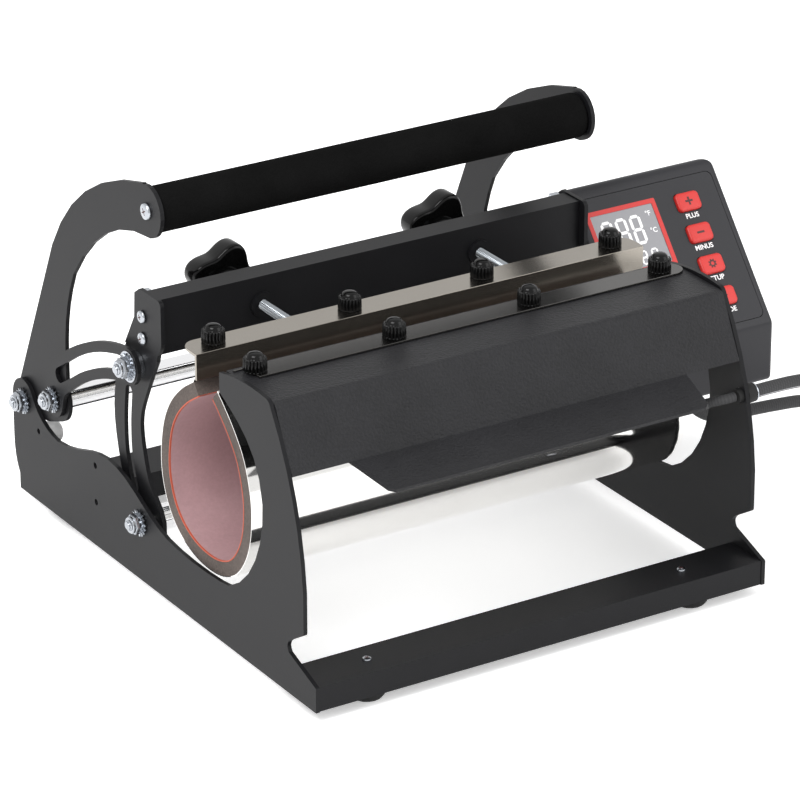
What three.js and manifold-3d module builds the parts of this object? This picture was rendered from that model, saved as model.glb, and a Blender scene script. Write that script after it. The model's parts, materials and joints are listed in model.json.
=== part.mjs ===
// Mug heat press: two side plates, a wrap-around heating mat, an over-centre handle and a control box.
// Machine axes in millimetres: x runs from the left plate's outer face to the right plate's,
// y from the front lower corner of the plates to the back, z up from the plates' lower edge.
import * as THREE from 'three'
import { mergeVertices } from 'three/addons/utils/BufferGeometryUtils.js'
import Module from 'manifold-3d'

const wasm = await Module()
wasm.setup()

// Driving dimensions
const WIDTH = 360          // over the outer faces of the side plates
const PLATE = 3            // sheet thickness of plates, arms and links
const GAP = 0.3            // clearance between pieces that touch
const SIDE = PLATE + GAP   // inner face of a plate plus clearance
const FOOT_DROP = 8        // feet reach this far below the plates
const ARM_IN = { left: 3.4, right: 10 }  // from a plate's outer face to its handle arm
const SWING_X = 7.6        // outer face of a swing arm
const HANDLE_PIVOT = [400, 72]
const CRANK_PIVOT = [355, 90]
const LINK_PIVOT = [244, 156]
const SWING_PIVOT = [232, 44]
const GRIP_AXIS = [219, 277]
const SHAFT_R = 9.2        // chrome cross shafts
const THREAD_R = 4         // M8
const NUT_R = 7.4
const WASHER_R = 9.6
const GRIP_R = 16
const BAR = { y0: 217.5, y1: 236.2, z0: 172, z1: 212, wall: 2 }
const SCREW_X = [90, 265]
const SCREW_Z = 191.5
const SCREW_R = 3.9        // M8 pressure screws
const MAT = { x0: 5, x1: 354, shell: 1.4, sponge: 7.5, heater: 1.8 }
const STRIP = { x0: 1, x1: 359, y0: 152, y1: 181, z0: 179.5, z1: 198.5, t: 2 }
const COVER_TOP = 200
const FRONT_CAPS = { y: 104, x: 18, pitch: 107 }
const REAR_CAPS = { y: 165.5, x: 22, pitch: 106 }
const CAP_R = 8.2
const CAP_H = 12.5
const BOX = { x0: 366, x1: 491, y0: 174, y1: 268, z0: 58, wall: 2.5 }
const BUMPER = { at: [377, 54.5], r: 8, x1: 13 }
const LEAD_R = 4.6         // sleeved heater lead
const PLATE_GLAND = [31, 131]
const BOX_GLAND = [440, 204]

const looks = {
  powder: { color: 0x232326, roughness: 0.62, metalness: 0.1 },
  chrome: { color: 0xd8d8d8, roughness: 0.16, metalness: 1 },
  zinc: { color: 0xc9ced4, roughness: 0.3, metalness: 1 },
  stainless: { color: 0xb9b2a6, roughness: 0.22, metalness: 1 },
  plastic: { color: 0x1c1c1e, roughness: 0.5, metalness: 0 },
  foam: { color: 0x0e0e0f, roughness: 0.95, metalness: 0 },
  rubber: { color: 0x141414, roughness: 0.85, metalness: 0 },
  sponge: { color: 0x4a4039, roughness: 0.95, metalness: 0 },
  silicone: { color: 0xa35a50, roughness: 0.5, metalness: 0 },
  red: { color: 0xd8291f, roughness: 0.4, metalness: 0 },
  glass: { color: 0x6d6e70, roughness: 0.15, metalness: 0 },
  board: { color: 0x1e5b34, roughness: 0.5, metalness: 0 },
  nylon: { color: 0xd9d9d9, roughness: 0.45, metalness: 0 },
  sleeve: { color: 0x2a2a2c, roughness: 0.8, metalness: 0 },
}

const machine = new THREE.Group()

function add(name, geometry, look) {
  const mesh = new THREE.Mesh(geometry, new THREE.MeshStandardMaterial(looks[look]))
  mesh.name = name
  machine.add(mesh)
  return mesh
}

// Manifold solid of a closed geometry, and back
function solid(geometry) {
  const bare = geometry.clone()
  bare.deleteAttribute('normal')
  bare.deleteAttribute('uv')
  const merged = mergeVertices(bare, 1e-4)
  const vertProperties = new Float32Array(merged.attributes.position.array)
  const triVerts = new Uint32Array(merged.index.array)
  return new wasm.Manifold(new wasm.Mesh({ numProp: 3, vertProperties, triVerts }))
}

function fromSolid(manifold) {
  const mesh = manifold.getMesh()
  const geometry = new THREE.BufferGeometry()
  geometry.setAttribute('position', new THREE.BufferAttribute(mesh.vertProperties, 3))
  geometry.setIndex(new THREE.BufferAttribute(mesh.triVerts, 1))
  geometry.computeVertexNormals()
  return geometry
}

function join(...geometries) {
  return fromSolid(geometries.map(solid).reduce((a, b) => a.add(b)))
}

function cut(body, ...tools) {
  return fromSolid(tools.map(solid).reduce((a, b) => a.subtract(b), solid(body)))
}

function meet(a, b) {
  return fromSolid(solid(a).intersect(solid(b)))
}

// Extrusions of a (y, z) outline along x, a round bar along each axis, and a box by its limits
function alongX(shape, x0, x1, curveSegments = 6) {
  const geometry = new THREE.ExtrudeGeometry(shape, { depth: x1 - x0, bevelEnabled: false, curveSegments })
  const turn = new THREE.Matrix4().makeBasis(
    new THREE.Vector3(0, 1, 0), new THREE.Vector3(0, 0, 1), new THREE.Vector3(1, 0, 0))
  return geometry.applyMatrix4(turn).translate(x0, 0, 0)
}

function rodX([y, z], r, x0, x1, sides = 16) {
  const geometry = new THREE.CylinderGeometry(r, r, x1 - x0, sides)
  return geometry.rotateZ(-Math.PI / 2).translate((x0 + x1) / 2, y, z)
}

function rodY([x, z], r, y0, y1, sides = 16) {
  return new THREE.CylinderGeometry(r, r, y1 - y0, sides).translate(x, (y0 + y1) / 2, z)
}

function rodZ([x, y], r, z0, z1, sides = 16) {
  const geometry = new THREE.CylinderGeometry(r, r, z1 - z0, sides)
  return geometry.rotateX(Math.PI / 2).translate(x, y, (z0 + z1) / 2)
}

function box(x0, x1, y0, y1, z0, z1) {
  const geometry = new THREE.BoxGeometry(x1 - x0, y1 - y0, z1 - z0)
  return geometry.translate((x0 + x1) / 2, (y0 + y1) / 2, (z0 + z1) / 2)
}

const vector2 = ([y, z]) => new THREE.Vector2(y, z)

// The same piece for the other side of the machine
function mirrored(geometry) {
  const flipped = geometry.index ? geometry.clone() : mergeVertices(geometry)
  flipped.applyMatrix4(new THREE.Matrix4().makeScale(-1, 1, 1)).translate(WIDTH, 0, 0)
  const corners = flipped.index.array
  for (let i = 0; i < corners.length; i += 3) {
    [corners[i], corners[i + 1]] = [corners[i + 1], corners[i]]
  }
  flipped.computeVertexNormals()
  return flipped
}

// A flat bar of constant width that follows a smooth line, with round ends
function bandShape(points, halfWidth, steps = 14) {
  const line = new THREE.SplineCurve(points.map(vector2))
  const left = []
  const right = []
  for (let i = 0; i <= steps; i++) {
    const p = line.getPoint(i / steps)
    const t = line.getTangent(i / steps)
    const n = new THREE.Vector2(-t.y, t.x).multiplyScalar(halfWidth)
    left.push(p.clone().add(n))
    right.push(p.clone().sub(n))
  }
  const cap = (centre, from, count = 7) => {
    const start = from.clone().sub(centre).angle()
    return Array.from({ length: count - 1 }, (_, i) => {
      const a = start - Math.PI * (i + 1) / count
      return new THREE.Vector2(Math.cos(a), Math.sin(a)).multiplyScalar(halfWidth).add(centre)
    })
  }
  const end = cap(line.getPoint(1), left[steps])
  const start = cap(line.getPoint(0), right[0])
  return [...left, ...end, ...right.reverse(), ...start].reverse()
}

function circlePath([y, z], r) {
  return new THREE.Path().absarc(y, z, r, 0, 2 * Math.PI, true)
}

// Outline of a side plate: heel, front notch, mat cradle, pivot ear
function plateShape() {
  const s = new THREE.Shape()
  s.moveTo(0, 0)
  s.lineTo(410, 0)
  s.lineTo(410, 12)
  s.quadraticCurveTo(417, 22, 417, 40)
  s.lineTo(417, HANDLE_PIVOT[1])
  s.absarc(HANDLE_PIVOT[0] + 1, HANDLE_PIVOT[1], 16, 0, Math.PI * 0.8, false)
  s.quadraticCurveTo(378, 62, 350, 59)
  s.bezierCurveTo(322, 60, 308, 73, 278, 74)
  s.bezierCurveTo(250, 74, 230, 56, 206, 49)
  s.bezierCurveTo(190, 42, 130, 42, 112, 46)
  s.bezierCurveTo(80, 60, 64, 95, 66, 124)
  s.bezierCurveTo(70, 160, 95, 172, 120, 184)
  s.lineTo(120, 198)
  s.quadraticCurveTo(90, 205, 60, 202)
  s.quadraticCurveTo(56, 201.5, 54.5, 198)
  s.quadraticCurveTo(20, 145, 15, 80)
  s.lineTo(15, 52)
  s.quadraticCurveTo(15, 50, 17, 49)
  s.lineTo(30, 41)
  s.quadraticCurveTo(39, 36, 34, 30)
  s.lineTo(0, 18)
  s.closePath()
  s.holes.push(circlePath([379, 56], 2.2))
  s.holes.push(circlePath([295.5, 62], 2.4), circlePath([295.5, 34], 2.4))
  s.holes.push(circlePath(HANDLE_PIVOT, THREAD_R + GAP), circlePath(SWING_PIVOT, THREAD_R + GAP))
  return s
}

function sidePlates() {
  const left = alongX(plateShape(), 0, PLATE)
  add('side_plate_left', left, 'powder')
  const glandHole = rodX(PLATE_GLAND, 5 + GAP, WIDTH - 10, WIDTH + 10)
  add('side_plate_right', cut(mirrored(left), glandHole), 'powder')
}

// Folded channel, open below, between the plates
function channel(y0, y1, height) {
  const wall = 2
  const outer = box(SIDE, WIDTH - SIDE, y0, y1, 0.3, height)
  return cut(outer, box(-10, WIDTH + 10, y0 + wall, y1 - wall, -10, height - wall))
}

const FRONT_BAR = { y0: 0.5, y1: 36, top: 18 }
const REAR_BAR = { y0: 344, y1: 382, top: 20 }

function crossbars() {
  add('front_crossbar', channel(FRONT_BAR.y0, FRONT_BAR.y1, FRONT_BAR.top), 'powder')
  add('rear_crossbar', channel(REAR_BAR.y0, REAR_BAR.y1, REAR_BAR.top), 'powder')
}

function foot(x, bar) {
  const y = (bar.y0 + bar.y1) / 2
  const profile = [[0, -FOOT_DROP], [10.5, -FOOT_DROP], [12.2, -FOOT_DROP + 2], [12.2, -2],
    [11, 0], [11, bar.top - 2 - GAP], [0, bar.top - 2 - GAP]]
  const lathe = new THREE.LatheGeometry(profile.map(vector2), 16)
  return lathe.rotateX(Math.PI / 2).translate(x, y, 0)
}

function feet() {
  add('foot_front_left', foot(50, FRONT_BAR), 'rubber')
  add('foot_front_right', foot(WIDTH - 50, FRONT_BAR), 'rubber')
  add('foot_rear_left', foot(50, REAR_BAR), 'rubber')
  add('foot_rear_right', foot(WIDTH - 50, REAR_BAR), 'rubber')
}

// Folded cover: flat top, sloping front, and a narrower lip that reaches forward below it
function frontCover() {
  const t = 2
  const s = new THREE.Shape()
  s.moveTo(116, COVER_TOP)
  s.lineTo(58, COVER_TOP)
  s.quadraticCurveTo(54.5, COVER_TOP, 53, 197)
  s.lineTo(32.5, 156)
  s.lineTo(34.5, 155)
  s.lineTo(55, 195.6)
  s.quadraticCurveTo(56.5, COVER_TOP - t, 60, COVER_TOP - t)
  s.lineTo(116, COVER_TOP - t)
  s.closePath()
  const skin = alongX(s, SIDE, WIDTH - SIDE)
  const lip = new THREE.Shape()
  lip.moveTo(34.5, 156.6)
  lip.lineTo(-6, 149)
  lip.lineTo(-6, 147)
  lip.lineTo(35.3, 154.8)
  lip.closePath()
  const half = WIDTH / 2
  const outline = [[-133.2, 35.5], [-126, -2.5], [-122, -6], [122, -6], [126, -2.5], [133.2, 35.5]]
  const tapered = new THREE.ExtrudeGeometry(
    new THREE.Shape(outline.map(([x, y]) => new THREE.Vector2(half + x, y))), { depth: 30, bevelEnabled: false })
  const flange = meet(alongX(lip, 40, WIDTH - 40), tapered.translate(0, 0, 135))
  add('front_cover', join(skin, flange), 'powder')
}

// Nut with its toothed lock washer; side is -1 on the left of the machine and 1 on the right
function nut(at, face, side) {
  const washer = side < 0 ? rodX(at, WASHER_R, face - 1.6, face) : rodX(at, WASHER_R, face, face + 1.6)
  const hex = side < 0 ? rodX(at, NUT_R, face - 9, face - 1.5, 6) : rodX(at, NUT_R, face + 1.5, face + 9, 6)
  return cut(join(washer, hex), rodX(at, THREAD_R + GAP, face - 30, face + 30))
}

// Turned cross shaft: a thick chrome middle and a thread at both ends
function shaft(at, x0, x1) {
  return join(rodX(at, SHAFT_R, x0, x1, 24), rodX(at, THREAD_R, -11, WIDTH + 11))
}

// Short pivot bolt with its nut, through the plate's ear and the handle arm
function handlePivotBolt(armIn) {
  const inner = armIn + PLATE
  const head = rodX(HANDLE_PIVOT, 6.5, inner + GAP, inner + 4)
  const shank = rodX(HANDLE_PIVOT, THREAD_R, -11, inner + 2)
  const washer = rodX(HANDLE_PIVOT, WASHER_R, -1.9, -GAP)
  const hex = rodX(HANDLE_PIVOT, NUT_R, -9, -1.5, 6)
  return join(head, shank, washer, hex)
}

function pivots() {
  add('handle_pivot_bolt_left', handlePivotBolt(ARM_IN.left), 'zinc')
  const spacer = rodX(HANDLE_PIVOT, 7, SIDE, ARM_IN.right - GAP)
  add('handle_pivot_bolt_right', mirrored(join(handlePivotBolt(ARM_IN.right), spacer)), 'zinc')
  const inner = SWING_X + PLATE + GAP
  add('lower_shaft', shaft(SWING_PIVOT, inner, WIDTH - inner), 'chrome')
  add('lower_shaft_nut_left', nut(SWING_PIVOT, -GAP, -1), 'zinc')
  add('lower_shaft_nut_right', nut(SWING_PIVOT, WIDTH + GAP, 1), 'zinc')
}

function bumpers() {
  const pin = join(rodX(BUMPER.at, BUMPER.r, SIDE, BUMPER.x1),
    new THREE.SphereGeometry(BUMPER.r, 16, 8).scale(0.5, 1, 1).translate(BUMPER.x1, ...BUMPER.at))
  add('stop_bumper_left', pin, 'nylon')
  add('stop_bumper_right', mirrored(pin), 'nylon')
}

// Handle: two curved arms, a padded grip between them, and the crank shaft
function handleArmShape() {
  const s = new THREE.Shape()
  s.moveTo(400, 57)
  s.quadraticCurveTo(417, 58, 414, 78)
  s.lineTo(356, 206)
  s.bezierCurveTo(332, 250, 290, 282, 224, 295.5)
  s.absarc(GRIP_AXIS[0], GRIP_AXIS[1], 18.6, 1.3, 4.5, false)
  s.bezierCurveTo(262, 258, 300, 232, 326, 194)
  s.bezierCurveTo(340, 165, 342, 145, 341, 108)
  s.absarc(CRANK_PIVOT[0], CRANK_PIVOT[1], 17, 2.3, 4.3, false)
  s.lineTo(368, 67)
  s.quadraticCurveTo(384, 64, 390, 60)
  s.closePath()
  s.holes.push(circlePath(HANDLE_PIVOT, THREAD_R + GAP), circlePath(CRANK_PIVOT, THREAD_R + GAP))
  s.holes.push(circlePath(GRIP_AXIS, 3.3))
  return s
}

function handle() {
  const [left, right] = [ARM_IN.left, WIDTH - ARM_IN.right]
  add('handle_arm_left', alongX(handleArmShape(), left, left + PLATE), 'powder')
  add('handle_arm_right', alongX(handleArmShape(), right - PLATE, right), 'powder')
  const [x0, x1] = [left + PLATE + GAP, right - PLATE - GAP]
  const core = join(rodX(GRIP_AXIS, 11, x0, x1), rodX(GRIP_AXIS, 3, left - 1, right + 1),
    rodX(GRIP_AXIS, 6, left - 2.6, left - GAP), rodX(GRIP_AXIS, 6, right + GAP, right + 2.6))
  add('grip_core', core, 'zinc')
  const foam = cut(rodX(GRIP_AXIS, GRIP_R, x0 + 0.4, x1 - 0.4, 28), rodX(GRIP_AXIS, 11 + GAP, -5, WIDTH + 5, 20))
  add('foam_grip', foam, 'foam')
  const spacer = rodX(CRANK_PIVOT, 7, right + GAP, WIDTH - SIDE)
  add('crank_shaft', join(shaft(CRANK_PIVOT, x0, x1), spacer), 'chrome')
  add('crank_nut_left', nut(CRANK_PIVOT, -GAP, -1), 'zinc')
  add('crank_nut_right', nut(CRANK_PIVOT, WIDTH + GAP, 1), 'zinc')
}

// Slotted link from the crank shaft to the swing arm
const LINK_LINE = [[355, 90], [349, 106], [333, 119.5], [312, 133], [287, 145], [264, 152.5], [244, 156]]
const LINK_SLOT = [[345, 112], [333, 119.5], [312, 133], [287, 145], [264, 152.5], [252, 155]]
const LINK_EYE = { at: [246.7, 152.1], r: 8.3 }  // wide eye: the link bolt floats in it as the press opens

function links() {
  const s = new THREE.Shape(bandShape(LINK_LINE, 13.2, 18))
  s.holes.push(circlePath(CRANK_PIVOT, THREAD_R + GAP))
  const plate = alongX(s, 0, PLATE)
  const slot = alongX(new THREE.Shape(bandShape(LINK_SLOT, 5.6)), -5, 10)
  const link = cut(plate, slot, rodX(LINK_EYE.at, LINK_EYE.r, -5, 10))
  add('link_left', link, 'powder')
  add('link_right', mirrored(link), 'powder')
}

// Swing frame: slotted arms, the rectangular top bar and the bolts that take the links
const SWING_LINE = [[232, 44], [250, 66], [260, 100], [259, 125], [247, 152], [234, 176]]
const SWING_SLOT = [[252.5, 62], [259.5, 84], [260.5, 108], [258, 131]]

function swingArmShape() {
  return new THREE.Shape(bandShape(SWING_LINE, 18.5, 16))
}

function swingHeadShape() {
  const s = new THREE.Shape()
  s.moveTo(211, 182)
  s.quadraticCurveTo(212, 176, 222, 166)
  s.lineTo(262, 166)
  s.lineTo(248, 190)
  s.lineTo(247, 208)
  s.lineTo(240, 213)
  s.lineTo(216, 213)
  s.quadraticCurveTo(211, 213, 211, 208)
  s.closePath()
  return s
}

function swingFrame() {
  const [x0, x1] = [SWING_X, SWING_X + PLATE]
  const body = join(alongX(swingArmShape(), x0, x1), alongX(swingHeadShape(), x0, x1))
  const arm = cut(body, alongX(new THREE.Shape(bandShape(SWING_SLOT, 4.6)), 0, 20),
    rodX(SWING_PIVOT, THREAD_R + GAP, 0, 20), rodX(LINK_PIVOT, 3 + GAP, 0, 20),
    ...HEAD_SCREWS.map((at) => rodX(at, 2.5 + GAP, 0, 20, 12)))
  add('swing_arm_left', arm, 'powder')
  add('swing_arm_right', mirrored(arm), 'powder')
  add('top_bar', topBar(), 'powder')
  const block = barEndBlock()
  add('bar_end_block_left', block, 'zinc')
  add('bar_end_block_right', mirrored(block), 'zinc')
  const washerAndNut = [rodX(LINK_PIVOT, 11, -1.9, -GAP, 20), rodX(LINK_PIVOT, NUT_R, -9, -1.5, 6),
    rodX(LINK_PIVOT, THREAD_R, -11, -8)]
  add('link_bolt_left', linkBolt(washerAndNut), 'zinc')
  const lowHead = [rodX(LINK_PIVOT, 10, -4, -GAP)]
  add('link_bolt_right', mirrored(linkBolt(lowHead)), 'zinc')
}

// Folded channel, open at the back, with a boss where each pressure screw passes through
function topBar() {
  const inset = SWING_X + PLATE + GAP
  const channelBar = cut(box(inset, WIDTH - inset, BAR.y0, BAR.y1, BAR.z0, BAR.z1),
    box(0, WIDTH, BAR.y0 + BAR.wall, BAR.y1 + 9, BAR.z0 + BAR.wall, BAR.z1 - BAR.wall))
  const bosses = SCREW_X.map((x) => rodY([x, SCREW_Z], 9, BAR.y0 - 2, BAR.y1, 20))
  const bores = SCREW_X.map((x) => rodY([x, SCREW_Z], SCREW_R + GAP, BAR.y0 - 9, BAR.y1 + 9))
  return cut(join(channelBar, ...bosses), ...bores)
}

// Block in the end of the top bar, with the two screws that hold it to the swing arm
const HEAD_SCREWS = [[236, 194], [236, 178]]

function barEndBlock() {
  const inset = BAR.wall + GAP
  const block = box(SWING_X + PLATE + GAP, 18, BAR.y0 + inset, 246, BAR.z0 + inset, BAR.z1 - inset)
  const screws = HEAD_SCREWS.flatMap((at) => [rodX(at, 2.5, 6, 12, 12), rodX(at, 4.6, 5, SWING_X - GAP, 14)])
  return join(block, ...screws)
}

// Shouldered bolt: thin shank in the link's eye, spacer behind it, and a nut or a low head outside
function linkBolt(outside) {
  return join(rodX(LINK_PIVOT, 3, -3, SWING_X + PLATE + 2), rodX(LINK_PIVOT, 10, SIDE, SWING_X - GAP, 20),
    rodX(LINK_PIVOT, 6, SWING_X + PLATE + GAP, SWING_X + PLATE + 4), ...outside)
}

// Heating mat: an egg-shaped sleeve, open along the top, in three layers that share one line
const MAT_LINE = [[131.5, 179], [122, 171], [109, 158], [98, 143], [91, 124], [88.5, 106], [91, 84],
  [99, 66], [112, 52], [130, 44.3], [150, 42.6], [170, 46], [188, 55], [201, 69], [208.5, 88],
  [209.5, 108], [205, 130], [195, 148], [180, 163], [163, 174.5]]

// Points of the mat's line moved inward by d
function matLine(d, steps = 30) {
  const line = new THREE.SplineCurve(MAT_LINE.map(vector2))
  return Array.from({ length: steps + 1 }, (_, i) => {
    const p = line.getPoint(i / steps)
    const t = line.getTangent(i / steps)
    return new THREE.Vector2(p.x - t.y * d, p.y + t.x * d)
  })
}

// The steel sleeve folds forward over the cover and stands up behind the press strip
function matShellShape() {
  const t = MAT.shell
  const top = COVER_TOP + GAP
  const standing = [[156.4, 184], [156.4, 196], [156.4 - t, 196], [156.4 - t, 183.5]]
  const folded = [[130, 184], [130, top + t], [93, top + t], [93, top], [130 - t, top], [130 - t, 183.5]]
  return new THREE.Shape([...matLine(0), ...standing.map(vector2), ...matLine(t).reverse(), ...folded.map(vector2)])
}

function mat() {
  const spongeOut = MAT.shell + GAP
  const heaterOut = spongeOut + MAT.sponge + GAP
  const layer = (a, b) => new THREE.Shape([...matLine(a), ...matLine(b).reverse()])
  const flangeEnd = box(0, 15, 80, 118, 190, 210)
  add('mat_shell', cut(alongX(matShellShape(), MAT.x0, MAT.x1), flangeEnd), 'stainless')
  add('mat_sponge', alongX(layer(spongeOut, spongeOut + MAT.sponge), MAT.x0, MAT.x1), 'sponge')
  add('mat_heater', alongX(layer(heaterOut, heaterOut + MAT.heater), MAT.x0, MAT.x1), 'silicone')
}

// Ribbed screw cap: round with a domed top
function cap(x, y, z) {
  const profile = [[0, 0], [CAP_R, 0], [CAP_R, CAP_H - 3], [CAP_R - 2, CAP_H - 1], [0, CAP_H]]
  return new THREE.LatheGeometry(profile.map(vector2), 16).rotateX(Math.PI / 2).translate(x, y, z)
}

function pressStrip() {
  const s = new THREE.Shape()
  s.moveTo(STRIP.y0, STRIP.z0)
  s.lineTo(STRIP.y0 + STRIP.t, STRIP.z0)
  s.lineTo(STRIP.y0 + STRIP.t, STRIP.z1 - STRIP.t)
  s.lineTo(STRIP.y1, STRIP.z1 - STRIP.t)
  s.lineTo(STRIP.y1, STRIP.z1)
  s.lineTo(STRIP.y0, STRIP.z1)
  s.closePath()
  const lugs = SCREW_X.map((x) => box(x - 10, x + 10, 170, 175, STRIP.z1 - STRIP.t - 15, STRIP.z1 - STRIP.t + 0.5))
  const bores = SCREW_X.map((x) => rodY([x, SCREW_Z], SCREW_R + GAP, 165, 180))
  add('press_strip', cut(join(alongX(s, STRIP.x0, STRIP.x1), ...lugs), ...bores), 'stainless')
}

function caps() {
  for (let i = 0; i < 4; i++) {
    const frontX = FRONT_CAPS.x + i * FRONT_CAPS.pitch
    const rearX = REAR_CAPS.x + i * REAR_CAPS.pitch
    add(`front_cap_${i + 1}`, cap(frontX, FRONT_CAPS.y, COVER_TOP + MAT.shell + 2 * GAP), 'plastic')
    add(`rear_cap_${i + 1}`, cap(rearX, REAR_CAPS.y, STRIP.z1 + GAP), 'plastic')
  }
}

// Threaded pressure screw with its four-lobed knob behind the bar
function pressureScrew(x) {
  const lobes = []
  const count = 48
  for (let i = 0; i < count; i++) {
    const a = 2 * Math.PI * i / count
    const r = 23.5 - 3.5 * Math.cos(4 * a)
    lobes.push(new THREE.Vector2(r * Math.sin(a), r * Math.cos(a)))
  }
  const knob = new THREE.ExtrudeGeometry(new THREE.Shape(lobes), { depth: 17, bevelEnabled: false })
  knob.rotateX(-Math.PI / 2).translate(x, 264, SCREW_Z)
  const hub = rodY([x, SCREW_Z], 11, 255, 268)
  const rod = rodY([x, SCREW_Z], SCREW_R, 168, 262)
  const collar = rodY([x, SCREW_Z], 4.7, 176, 180)
  const tip = rodY([x, SCREW_Z], 4.7, 164, 169)
  return join(knob, hub, rod, collar, tip)
}

// Control box, outboard of the right plate, with a panel tilted towards the front
const PANEL_TOP = [251, 197]
const PANEL_FOOT = [177, 107]
const slope = new THREE.Vector2(PANEL_FOOT[0] - PANEL_TOP[0], PANEL_FOOT[1] - PANEL_TOP[1]).normalize()
const lift = new THREE.Vector2(slope.y, -slope.x)

// (y, z) of a point on the panel: down from its top edge, out from its face
function panelPoint(down, out = 0) {
  return [PANEL_TOP[0] + slope.x * down + lift.x * out, PANEL_TOP[1] + slope.y * down + lift.y * out]
}

// Geometry laid on the panel, x across and y up the slope
function onPanel(geometry, across, down, out = 0) {
  const frame = new THREE.Matrix4().makeBasis(
    new THREE.Vector3(1, 0, 0), new THREE.Vector3(0, -slope.x, -slope.y), new THREE.Vector3(0, lift.x, lift.y))
  return geometry.applyMatrix4(frame).translate(across, ...panelPoint(down, out))
}

const PANEL = { x: (BOX.x0 + BOX.x1) / 2, width: BOX.x1 - BOX.x0 - 12, length: 114, down: 58 }
const DISPLAY = { x: 401.5, down: 37, w: 58, h: 50 }
const BUTTONS = [['plus', 20], ['minus', 44.5], ['setup', 69], ['mode', 94]]
const BUTTON = { x: 457.5, w: 20, h: 14 }

function roundedBlock(w, h, d, r) {
  const s = new THREE.Shape()
  s.absarc(w / 2 - r, h / 2 - r, r, 0, Math.PI / 2, false)
  s.absarc(-w / 2 + r, h / 2 - r, r, Math.PI / 2, Math.PI, false)
  s.absarc(-w / 2 + r, -h / 2 + r, r, Math.PI, 1.5 * Math.PI, false)
  s.absarc(w / 2 - r, -h / 2 + r, r, 1.5 * Math.PI, 2 * Math.PI, false)
  s.closePath()
  return new THREE.ExtrudeGeometry(s, { depth: d, bevelEnabled: false, curveSegments: 3 })
}

function controlShellShape() {
  const s = new THREE.Shape()
  s.moveTo(BOX.y0 + 4, BOX.z0)
  s.lineTo(BOX.y1 - 4, BOX.z0)
  s.quadraticCurveTo(BOX.y1, BOX.z0, BOX.y1, BOX.z0 + 4)
  s.lineTo(BOX.y1, 192)
  s.quadraticCurveTo(BOX.y1, 198.3, 262, 201.6)
  s.quadraticCurveTo(257, 204.3, ...panelPoint(-4))
  s.lineTo(...panelPoint(119))
  s.quadraticCurveTo(BOX.y0, 103.4, BOX.y0, 99)
  s.lineTo(BOX.y0, BOX.z0 + 4)
  s.quadraticCurveTo(BOX.y0, BOX.z0, BOX.y0 + 4, BOX.z0)
  return s
}

function controlHollow() {
  const [front, back, floor] = [BOX.y0 + BOX.wall, BOX.y1 - BOX.wall, BOX.z0 + BOX.wall]
  const s = new THREE.Shape([[front, floor], [back, floor], [back, 188], panelPoint(3, -5),
    panelPoint(113, -5), [front, 98]].map(vector2))
  return alongX(s, BOX.x0 + BOX.wall, BOX.x1 - BOX.wall)
}

function controlShell() {
  const recess = onPanel(roundedBlock(PANEL.width + 2 * GAP, PANEL.length + 2 * GAP, 20, 5), PANEL.x, PANEL.down, -2.5)
  const window = onPanel(roundedBlock(PANEL.width - 8, PANEL.length - 8, 20, 3), PANEL.x, PANEL.down, -12)
  const inlet = box(440, 470, BOX.y1 - 5, BOX.y1 + 5, 70, 92)
  const gland = rodZ(BOX_GLAND, 5 + GAP, BOX.z0 - 5, BOX.z0 + 5)
  const mounts = BRACKET.boxScrews.map((at) => rodX(at, 2 + GAP, BOX.x0 - 5, BOX.x0 + 5, 12))
  const vents = [150, 157, 164, 171].map((z) => box(400, 460, BOX.y1 - 5, BOX.y1 + 5, z, z + 2.5))
  return cut(alongX(controlShellShape(), BOX.x0, BOX.x1), controlHollow(), recess, window, inlet, gland,
    ...mounts, ...vents)
}

function controlPanel() {
  const plate = onPanel(roundedBlock(PANEL.width, PANEL.length, 2.2, 5), PANEL.x, PANEL.down, -2.2)
  const posts = [-46, 46].flatMap((dx) => [-48, 48].map((dy) =>
    onPanel(box(dx - 2, dx + 2, dy - 2, dy + 2, -9.1, -1.5), PANEL.x, PANEL.down)))
  const displayHole = onPanel(roundedBlock(DISPLAY.w, DISPLAY.h, 9, 2), DISPLAY.x, DISPLAY.down, -4)
  const buttonHoles = BUTTONS.map(([, down]) =>
    onPanel(roundedBlock(BUTTON.w + 2 * GAP, BUTTON.h + 2 * GAP, 9, 3), BUTTON.x, down, -4))
  return cut(join(plate, ...posts), displayHole, ...buttonHoles)
}

// Plate between the right side plate and the control box, on two bosses, with its screws
const BRACKET = { y0: 246, y1: 305, z0: 28, z1: 90, plateScrews: [[295.5, 62], [295.5, 34]],
  boxScrews: [[257, 66], [257, 82]] }

function controlBracket() {
  const sheet = box(363.2, BOX.x0 - GAP, BRACKET.y0, BRACKET.y1, BRACKET.z0, BRACKET.z1)
  const plateSide = BRACKET.plateScrews.flatMap((at) => [rodX(at, 6, WIDTH + GAP, 364), rodX(at, 2, 355, 361, 12),
    rodX(at, 4, 354, WIDTH - SIDE, 12)])
  const boxSide = BRACKET.boxScrews.flatMap((at) => [rodX(at, 2, 365, 370, 12), rodX(at, 4, 368.8, 370.5, 12)])
  return join(sheet, ...plateSide, ...boxSide)
}

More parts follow.
